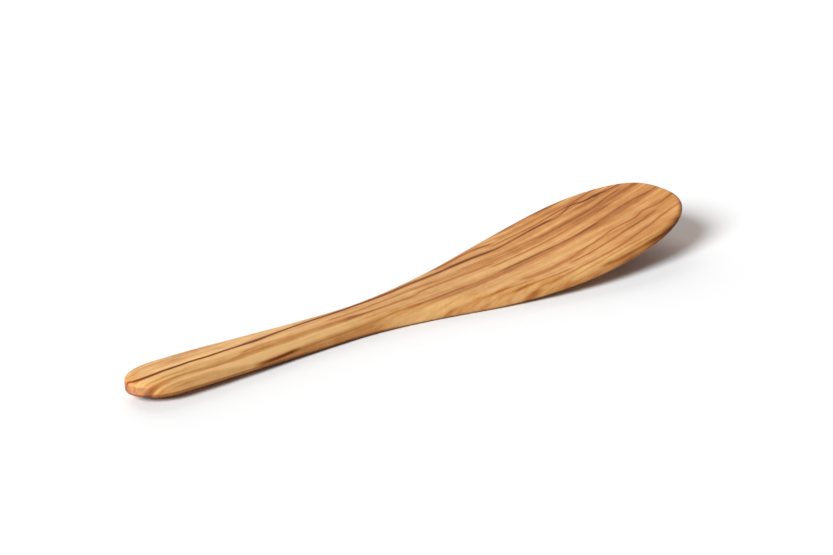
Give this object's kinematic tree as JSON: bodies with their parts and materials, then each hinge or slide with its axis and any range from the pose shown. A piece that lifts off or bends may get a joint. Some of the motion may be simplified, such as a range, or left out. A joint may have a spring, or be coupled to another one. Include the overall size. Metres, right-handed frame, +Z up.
{
  "type": "wok spatula",
  "caption": "Solid-wood wok spatula: a slim rounded handle that widens into a thin, upswept blade with a round tip, for turning food in a pan.",
  "frame": {"origin": "under the middle of the length and width, at the level of the flat underside where it lies on a table", "axes": "+X from the butt of the handle to the tip of the blade, +Y across the blade, +Z up from the table"},
  "size_m": [0.3, 0.065, 0.0242],
  "materials": {
    "olive_wood": "oiled, satin, golden brown with dark streaks along the grain"
  },
  "bodies": {
    "root": {"spatula": "olive_wood"}
  },
  "joints": []
}
